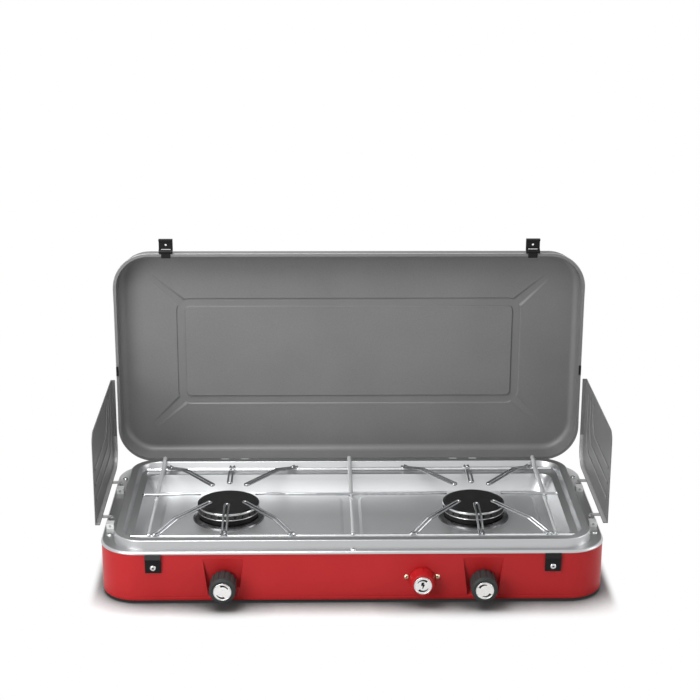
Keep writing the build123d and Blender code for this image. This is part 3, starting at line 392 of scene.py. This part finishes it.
def screwTree(name, finish):
    tree, size = newNodeTree(name, screwShape)
    dome = addNode(tree, "GeometryNodeMeshUVSphere", {"Radius": size["Head radius"]},
                   {"Segments": fineness["dome"], "Rings": fineness["domeRings"]})
    squash = addNode(tree, "ShaderNodeMath", {0: size["Head height"], 1: size["Head radius"]},
                     operation="DIVIDE")
    squash = addNode(tree, "ShaderNodeCombineXYZ", {2: squash}, {0: 1.0, 1: 1.0})
    dome = addNode(tree, "GeometryNodeTransform", {"Geometry": dome, "Scale": squash})
    wide = addNode(tree, "ShaderNodeVectorMath", {"Scale": size["Head radius"]},
                   {0: (blockSide, blockSide, blockSide)}, operation="SCALE")
    under = addNode(tree, "ShaderNodeMath", {0: size["Head radius"]}, {1: -blockSide / 2},
                    operation="MULTIPLY")
    under = addNode(tree, "ShaderNodeCombineXYZ", {2: under})
    below = addNode(tree, "GeometryNodeMeshCube", {"Size": wide})
    below = addNode(tree, "GeometryNodeTransform", {"Geometry": below, "Translation": under})
    deep = addNode(tree, "ShaderNodeMath", {0: size["Slot depth"]}, {1: 2.0}, operation="MULTIPLY")
    top = addNode(tree, "ShaderNodeCombineXYZ", {2: size["Head height"]})
    cutters = [below]
    for along, across in (("Slot length", "Slot width"), ("Slot width", "Slot length")):
        span = addNode(tree, "ShaderNodeCombineXYZ", {0: size[along], 1: size[across], 2: deep})
        bar = addNode(tree, "GeometryNodeMeshCube", {"Size": span})
        cutters.append(addNode(tree, "GeometryNodeTransform", {"Geometry": bar, "Translation": top}))
    head = addNode(tree, "GeometryNodeMeshBoolean", {"Mesh 1": dome, "Mesh 2": cutters},
                   operation="DIFFERENCE")
    half = addNode(tree, "ShaderNodeMath", {0: size["Shank length"]}, {1: -0.5}, operation="MULTIPLY")
    half = addNode(tree, "ShaderNodeCombineXYZ", {2: half})
    shank = addNode(tree, "GeometryNodeMeshCylinder",
                    {"Radius": size["Shank radius"], "Depth": size["Shank length"]},
                    {"Vertices": fineness["shank"]})
    shank = addNode(tree, "GeometryNodeTransform", {"Geometry": shank, "Translation": half})
    whole = addNode(tree, "GeometryNodeJoinGeometry", {0: [head, shank]})
    placeShape(tree, size, whole, finish)
    return tree


for name, group in screwSets.items():
    tree = screwTree(name + "Tree", group["finish"])
    places = [fromCase(*place) for place in group["places"]]
    bakeTree(name, tree, {**screwShape, **group["sizes"]}, places, [], group["aim"], "base",
             (group["node"],))
print("screws:", len(screwSets), "sets")

# turned trim rings: a band round each burner's cap, a bead on its cup, a knuckle at each of the screens'
# hinge blocks, and a rim on each printed disc
trimRing = {"Ring radius": 0.0430, "Half width": 0.0006, "Half height": 0.0006, "Seed": 1}
capBand = {"Half height": 0.0015}
hingeKnuckle = {"Ring radius": 0.00265, "Half height": 0.005}
discRim = {"Ring radius": 0.0114}
ringSets = {
    "capBands": {"body": "base", "slot": "burner_steel", "aim": upward, "sizes": capBand,
                 "places": [(-burnerX, 0, 77.6), (burnerX, 0, 77.6)]},
    "cupBeads": {"body": "base", "slot": "burner_steel", "aim": upward, "sizes": {},
                 "places": [(-burnerX, 0, 69.2), (burnerX, 0, 69.2)]},
    "hingeKnuckles": {"body": "base", "slot": "zinc_steel", "aim": forward, "sizes": hingeKnuckle,
                      "places": [(x, y, 78) for x in (-328.5, 328.5) for y in (61, -63)]},
    "discRimLeft": {"body": "tap_left", "slot": "disc", "aim": forward, "sizes": discRim,
                    "places": [discSpots["left"]]},
    "discRimRight": {"body": "tap_right", "slot": "disc", "aim": forward, "sizes": discRim,
                     "places": [discSpots["right"]]},
    "discRimSpark": {"body": "spark_knob", "slot": "disc", "aim": forward, "sizes": discRim,
                     "places": [discSpots["spark"]]},
}
tree, size = newNodeTree("trimRingTree", trimRing)
path = addNode(tree, "GeometryNodeCurvePrimitiveCircle", {"Radius": size["Ring radius"]},
               {"Resolution": fineness["ring"]})
path = addNode(tree, "GeometryNodeSetCurveNormal", {"Curve": path}, mode="Z_UP")
section = flatSection(tree, size, fineness["ringSection"])
band = addNode(tree, "GeometryNodeCurveToMesh", {"Curve": path, "Profile Curve": section})
placeShape(tree, size, band, "platedSteel")
for name, group in ringSets.items():
    places = [fromCase(*place) for place in group["places"]]
    bakeTree(name, tree, {**trimRing, **group["sizes"]}, places, [], group["aim"], group["body"])
print("trim rings:", len(ringSets))

# swept pieces: the lid's rolled hem, the case's folded bottom seam, the thick necks of the screens' hooks,
# the folded sill on each screen's bottom flange and the rounded crests of its pressed ribs
# all in metres, apart from the necks' places
hem = {"Half width": 0.0014, "Half height": 0.0014, "Bend radius": 0.0507}
hemPlan = {"inset": 0.0009, "hingeX": 0.17, "gap": 0.024}
seam = {"Half width": 0.0008, "Half height": 0.0033, "Bend radius": 0.0492}
seamZ = 0.0077  # the seam covers the rounded foot of the wall
hookNeck = {"Half width": 0.0021, "Half height": 0.0022, "Bend radius": 0.006}
neckPlan = {"pinX": 328.5, "screenX": 347.0, "z": 77.5, "starts": (79.0, -45.0), "reach": 12.5}
sill = {"Half width": 0.0026, "Half height": 0.0005, "Bend radius": 0.0249}
crest = {"Half width": 0.0005, "Half height": 0.0014, "Bend radius": 0.024}
screenPlan = {"sheet": 0.001, "flange": 0.0065, "proud": 0.0002, "end": 0.001, "rise": 0.044,
              "ribHeight": 0.0008, "firstRib": 0.032, "ribStep": 0.022, "ribs": 3, "margin": 0.014}


def sweptTree(name, sizes, finish):
    tree, size = newNodeTree(name, sizes)
    path = addNode(tree, "GeometryNodeMeshToCurve", {0: size["Geometry"]})
    path = addNode(tree, "GeometryNodeFilletCurve", {"Curve": path, "Radius": size["Bend radius"]},
                   {"Count": fineness["bend"]}, mode="POLY")
    path = addNode(tree, "GeometryNodeSetCurveNormal", {"Curve": path}, mode="Z_UP")
    section = flatSection(tree, size, fineness["rodSection"])
    rod = addNode(tree, "GeometryNodeCurveToMesh", {"Curve": path, "Profile Curve": section},
                  {"Fill Caps": True})
    finishTree(tree, rod, finish)
    return tree


def hemRuns():
    low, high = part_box("lid_shell")
    side, y = high[0] - hemPlan["inset"], low[1] + hem["Half width"]
    foot, top = low[2] + hemPlan["inset"], high[2] - hemPlan["inset"]
    near, far = hemPlan["hingeX"] - hemPlan["gap"], hemPlan["hingeX"] + hemPlan["gap"]
    around = [(far, foot), (side, foot), (side, top), (-side, top), (-side, foot), (-far, foot)]
    return [[(x, y, z) for x, z in around], [(-near, y, foot), (near, y, foot)]]


def seamRuns():
    inset = seam["Half width"]
    x, near, far = caseHigh[0] - inset, caseLow[1] + inset, caseHigh[1] - inset
    return [[(x, far, seamZ), (-x, far, seamZ), (-x, near, seamZ), (x, near, seamZ)]]


def neckRuns(side):
    screenX, pinX, runs = neckPlan["screenX"], neckPlan["pinX"], []
    for y in neckPlan["starts"]:
        corners = [(screenX, y), (pinX, y), (pinX, y - neckPlan["reach"])]
        runs.append([fromCase(side * x, along, neckPlan["z"]) for x, along in corners])
    return runs


def screenBox(side):
    low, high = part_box("wind_screen_left" if side < 0 else "wind_screen_right")
    return low, high, max(high[0], -low[0])


def sillRuns(side):
    low, high, outer = screenBox(side)
    x = side * (outer - screenPlan["flange"] / 2)
    lift = screenPlan["sheet"] + screenPlan["proud"]
    front, rear, z = low[1] + screenPlan["end"], high[1] - lift, low[2] + lift
    return [[(x, front, z), (x, rear, z), (x, rear, low[2] + screenPlan["rise"])]]


def crestRuns(side):
    low, high, outer = screenBox(side)
    x = side * (outer - screenPlan["sheet"] - screenPlan["ribHeight"])
    front, top, runs = low[1] + screenPlan["margin"], high[2] - screenPlan["margin"], []
    for i in range(screenPlan["ribs"]):
        inset = screenPlan["firstRib"] + i * screenPlan["ribStep"]
        rear, z = high[1] - inset, low[2] + inset
        runs.append([(x, front, z), (x, rear, z), (x, rear, top)])
    return runs


# each has its sizes, finish, runs, whether they close on themselves, body and slot
# the hem, the hooks' necks and the sill are in painted highlight grey; the sill is a thin strip laid on the
# bottom flange to carry it
sweptSets = {
    "lidHem": (hem, "paintedHighlightGrey", hemRuns(), False, "lid", "grey_paint"),
    "caseSeam": (seam, "redPowderCoat", seamRuns(), True, "base", "red_paint"),
    "hookNecksLeft": (hookNeck, "paintedHighlightGrey", neckRuns(-1), False, "screen_left", "grey_paint"),
    "hookNecksRight": (hookNeck, "paintedHighlightGrey", neckRuns(1), False, "screen_right", "grey_paint"),
    "screenSillLeft": (sill, "paintedHighlightGrey", sillRuns(-1), False, "screen_left", "grey_paint"),
    "screenSillRight": (sill, "paintedHighlightGrey", sillRuns(1), False, "screen_right", "grey_paint"),
    # painted highlight: the ribs' crests are a lighter grey where light catches them
    "screenCrestsLeft": (crest, "paintedCrestHighlight", crestRuns(-1), False, "screen_left", "grey_paint"),
    "screenCrestsRight": (crest, "paintedCrestHighlight", crestRuns(1), False, "screen_right", "grey_paint"),
}
for name, (sizes, finish, runs, closed, body, slot) in sweptSets.items():
    points, edges = [], []
    for run in runs:
        start, end = len(points), len(points) + len(run)
        points += run
        edges += [(i, i + 1) for i in range(start, end - 1)] + ([(end - 1, start)] if closed else [])
    bakeTree(name, sweptTree(name + "Tree", sizes, finish), sizes, points, edges, upward, body)
print("swept pieces:", len(sweptSets))

# printed marks on the discs: generic tapered arcs, and a spark on the igniter
knobArcs = {"spans": ((150, 72), (330, 252)), "radius": 8.4, "startWidth": 3.0, "endWidth": 1.0}
sparkArcs = {"spans": ((152, 48), (332, 228)), "radius": 7.8, "startWidth": 0.7, "endWidth": 3.0}
sparkBolt = [(2.0, 4.9), (-1.8, 4.9), (-2.6, 0.2), (-0.6, 0.2), (-0.6, -5.0), (2.8, 1.9), (0.9, 1.9)]
leftTurn = -42  # degrees from the right disc's marks to the left one's
inkFilm = 0.12  # thickness in mm


def taperedArcs(arcs, turn=0):
    outlines = []
    for start, end in arcs["spans"]:
        outer, inner = [], []
        for i in range(fineness["arc"] + 1):
            share = i / fineness["arc"]
            angle = math.radians(start + turn + (end - start) * share)
            half = (arcs["startWidth"] + (arcs["endWidth"] - arcs["startWidth"]) * share) / 2
            for rim, radius in ((outer, arcs["radius"] + half), (inner, arcs["radius"] - half)):
                rim.append((radius * math.cos(angle), radius * math.sin(angle)))
        outlines.append(outer + inner[::-1])
    return outlines


discPrints = {
    "printLeft": {"body": "tap_left", "centre": discSpots["left"],
                  "shapes": taperedArcs(knobArcs, leftTurn)},
    "printRight": {"body": "tap_right", "centre": discSpots["right"], "shapes": taperedArcs(knobArcs)},
    "printSpark": {"body": "spark_knob", "centre": discSpots["spark"],
                   "shapes": taperedArcs(sparkArcs) + [sparkBolt]},
}
for name, group in discPrints.items():
    form = bmesh.new()
    x, y, z = group["centre"]
    for outline in group["shapes"]:
        face = [form.verts.new(fromCase(x + u, y - inkFilm, z + v)) for u, v in outline]
        back = [form.verts.new(fromCase(x + u, y, z + v)) for u, v in outline]
        form.faces.new(face)
        form.faces.new(back[::-1])
        for i in range(len(outline)):
            j = (i + 1) % len(outline)
            form.faces.new((face[i], back[i], back[j], face[j]))
    bmesh.ops.recalc_face_normals(form, faces=form.faces)
    mesh = bpy.data.meshes.new(name)
    form.to_mesh(mesh)
    form.free()
    mesh.materials.append(materials["printInk"])
    piece = bpy.data.objects.new(name, mesh)
    bpy.context.scene.collection.objects.link(piece)
    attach(piece, group["body"])
print("printed discs:", len(discPrints))

# camera at the photograph's angle
cameraSpot = {"place": (-0.0481, -2.205, 1.0055), "yaw": 0.0208, "pitch": math.radians(17.73),
              "roll": 0.0039, "lens": 87.02}
lens = bpy.data.cameras.new("camera")
lens.lens = cameraSpot["lens"]
camera = bpy.data.objects.new("camera", lens)
bpy.context.scene.collection.objects.link(camera)
camera.matrix_world = (Matrix.Translation(cameraSpot["place"])
                       @ Matrix.Rotation(-cameraSpot["yaw"], 4, "Z")
                       @ Matrix.Rotation(math.pi / 2 - cameraSpot["pitch"], 4, "X")
                       @ Matrix.Rotation(cameraSpot["roll"], 4, "Z"))
bpy.context.scene.camera = camera

# soft studio light: a small box close above the left, a big one at the left front, a weak one at the right
softBoxes = {"above": {"place": (-0.34, -0.26, 0.95), "size": 0.6, "power": 7.5},
             "left": {"place": (-1.4, -1.7, 0.9), "size": 1.2, "power": 22.0},
             "right": {"place": (1.9, -0.3, 0.7), "size": 0.8, "power": 7.0}}
lightAim = Vector((0.0, 0.0, 0.12))
for name, box in softBoxes.items():
    lamp = bpy.data.lights.new(name + "Box", "AREA")
    lamp.shape = "DISK"
    lamp.size = box["size"]
    lamp.energy = box["power"]
    holder = bpy.data.objects.new(name + "Box", lamp)
    bpy.context.scene.collection.objects.link(holder)
    holder.visible_camera = False
    holder.location = box["place"]
    holder.rotation_euler = (lightAim - Vector(box["place"])).to_track_quat("-Z", "Y").to_euler()

# white room: full white where it is seen or mirrored, and much weaker as light on the stove
room = {"seen": 1.0, "light": 0.18}
white = (1.0, 1.0, 1.0, 1.0)


def shownRays(tree):
    rays = addNode(tree, "ShaderNodeLightPath").outputs
    shown = addNode(tree, "ShaderNodeMath", {0: rays["Is Camera Ray"], 1: rays["Is Glossy Ray"]},
                    operation="MAXIMUM")
    return addNode(tree, "ShaderNodeMath", {0: shown, 1: rays["Is Transmission Ray"]}, operation="MAXIMUM")


world = bpy.data.worlds.new("whiteRoom")
bpy.context.scene.world = world
world.use_nodes = True
tree = world.node_tree
tree.nodes.clear()
strength = addNode(tree, "ShaderNodeMapRange", {"Value": shownRays(tree)},
                   {"To Min": room["light"], "To Max": room["seen"]})
sky = addNode(tree, "ShaderNodeBackground", {"Strength": strength}, {"Color": white})
addNode(tree, "ShaderNodeOutputWorld", {"Surface": sky})

# pale floor: plain near the stove, so that it keeps the lamps' shadow, darkened there by a painted contact
# shadow from ambient occlusion, and white to the camera further out
floorPlan = {"half": 6.0, "coreX": 0.336, "coreY": 0.165, "sideways": 3.4, "fadeFrom": 0.02, "fadeTo": 0.065,
             "lift": 0.3, "contact": 0.06, "samples": 12, "shut": 0.4, "least": 0.22, "power": 1.8,
             "albedo": 0.92, "rough": 0.9}
half = floorPlan["half"]
corners = [(-half, -half, 0), (half, -half, 0), (half, half, 0), (-half, half, 0)]
floorMesh = bpy.data.meshes.new("floor")
floorMesh.from_pydata(corners, [], [(0, 1, 2, 3)])
floor = bpy.data.objects.new("floor", floorMesh)
bpy.context.scene.collection.objects.link(floor)
paper, tree, coords = newMaterial("paperFloor")
shown = shownRays(tree)
span = addNode(tree, "ShaderNodeVectorMath", {0: coords}, operation="ABSOLUTE")
span = addNode(tree, "ShaderNodeVectorMath", {0: span}, {1: (floorPlan["coreX"], floorPlan["coreY"], 0.0)},
               operation="SUBTRACT")
span = addNode(tree, "ShaderNodeVectorMath", {0: span}, {1: (0.0, 0.0, 0.0)}, operation="MAXIMUM")
span = addNode(tree, "ShaderNodeVectorMath", {0: span}, {1: (floorPlan["sideways"], 1.0, 0.0)},
               operation="MULTIPLY")
reach = addNode(tree, "ShaderNodeVectorMath", {0: span}, operation="LENGTH")
fade = addNode(tree, "ShaderNodeMapRange", {"Value": reach.outputs["Value"]},
               {"From Min": floorPlan["fadeFrom"], "From Max": floorPlan["fadeTo"]},
               interpolation_type="SMOOTHSTEP")
share = addNode(tree, "ShaderNodeMath", {0: fade, 1: shown}, operation="MULTIPLY")
# painted contact shadow: ambient occlusion darkens the floor's colour and glow close to the stove
paintedContactShadow = addNode(tree, "ShaderNodeAmbientOcclusion", None, {"Distance": floorPlan["contact"]},
               samples=floorPlan["samples"])
paintedContactShadow = addNode(tree, "ShaderNodeMapRange", {"Value": paintedContactShadow.outputs["AO"]},
               {"From Min": floorPlan["shut"], "To Min": floorPlan["least"]})
paintedContactShadow = addNode(tree, "ShaderNodeMath", {0: paintedContactShadow}, {1: floorPlan["power"]}, operation="POWER")
paintedShadowTone = addNode(tree, "ShaderNodeMath", {0: paintedContactShadow}, {1: floorPlan["albedo"]}, operation="MULTIPLY")
glow = addNode(tree, "ShaderNodeMath", {0: shown}, {1: floorPlan["lift"]}, operation="MULTIPLY")
near = addNode(tree, "ShaderNodeBsdfPrincipled",
               {"Base Color": paintedShadowTone, "Emission Color": paintedContactShadow, "Emission Strength": glow},
               {"Roughness": floorPlan["rough"], "Specular IOR Level": 0.0})
far = addNode(tree, "ShaderNodeEmission", None, {"Color": white, "Strength": room["seen"]})
both = addNode(tree, "ShaderNodeMixShader", {0: share, 1: near, 2: far})
addNode(tree, "ShaderNodeOutputMaterial", {"Surface": both})
floorMesh.materials.append(paper)
floor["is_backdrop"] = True
print("camera, light and floor")

bpy.context.scene.view_settings.view_transform = "Standard"
low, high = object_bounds()
sizes = {"cad": [list(cadLow), list(cadHigh)], "visual": [list(low), list(high)]}
